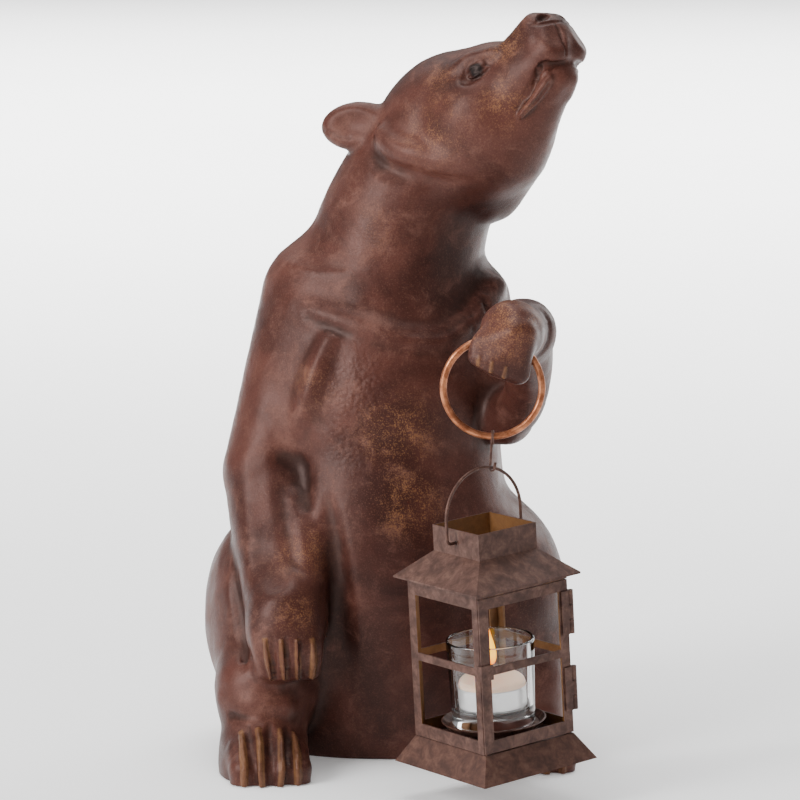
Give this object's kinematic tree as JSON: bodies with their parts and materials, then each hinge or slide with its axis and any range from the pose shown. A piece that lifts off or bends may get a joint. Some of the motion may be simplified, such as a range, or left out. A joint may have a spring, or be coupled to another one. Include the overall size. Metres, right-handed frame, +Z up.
{
  "type": "bear sculpture with hanging candle lantern",
  "caption": "Cast sitting bear that looks up and holds a ring in one raised paw; a small open-sided candle lantern with a hinged door hangs from the ring.",
  "frame": {"origin": "on the ground under the sitting figure, at its flat underside", "axes": "+Z up, -Y towards the viewer whom the chest faces, +X to the side of the raised paw"},
  "size_m": [0.2183, 0.2895, 0.4205],
  "materials": {
    "cast_brown": "hollow cast resin, painted dark bronze brown with rubbed golden patches, semi-gloss",
    "copper": "aged copper-coloured wire",
    "rust_wire": "rust-brown wire",
    "rust_sheet": "mottled rust-brown sheet metal",
    "clear_glass": "clear, smooth",
    "aluminium": "thin pressed tin, pale",
    "wax": "peach candle wax",
    "cotton": "charred wick"
  },
  "bodies": {
    "bear": {"bear_body": "cast_brown", "ring": "copper", "hook": "rust_wire", "bail": "rust_wire"},
    "lantern": {"roof": "rust_sheet", "lantern_frame": "rust_sheet", "lantern_base": "rust_sheet", "upper_hinge_post_leaf": "rust_wire", "lower_hinge_post_leaf": "rust_wire", "candle_dish": "rust_sheet", "glass_cup": "clear_glass", "tealight_tin": "aluminium", "tealight_wax": "wax", "wick": "cotton"},
    "door": {"door": "rust_sheet", "upper_hinge_door_leaf": "rust_wire", "lower_hinge_door_leaf": "rust_wire", "door_catch": "rust_wire"}
  },
  "joints": [
    {"name": "lantern_swing", "type": "hinge", "parent": "bear", "child": "lantern", "pos_m": [0.05138, -0.1299, 0.14631], "axis": [0.7905, 0.6088, 0.0663], "range_deg": [-25, 5]},
    {"name": "door_hinge", "type": "hinge", "parent": "lantern", "child": "door", "pos_m": [0.09535, -0.13384, 0.14847], "axis": [-0.0525, -0.0404, 0.9978], "range_deg": [0, 110]}
  ]
}
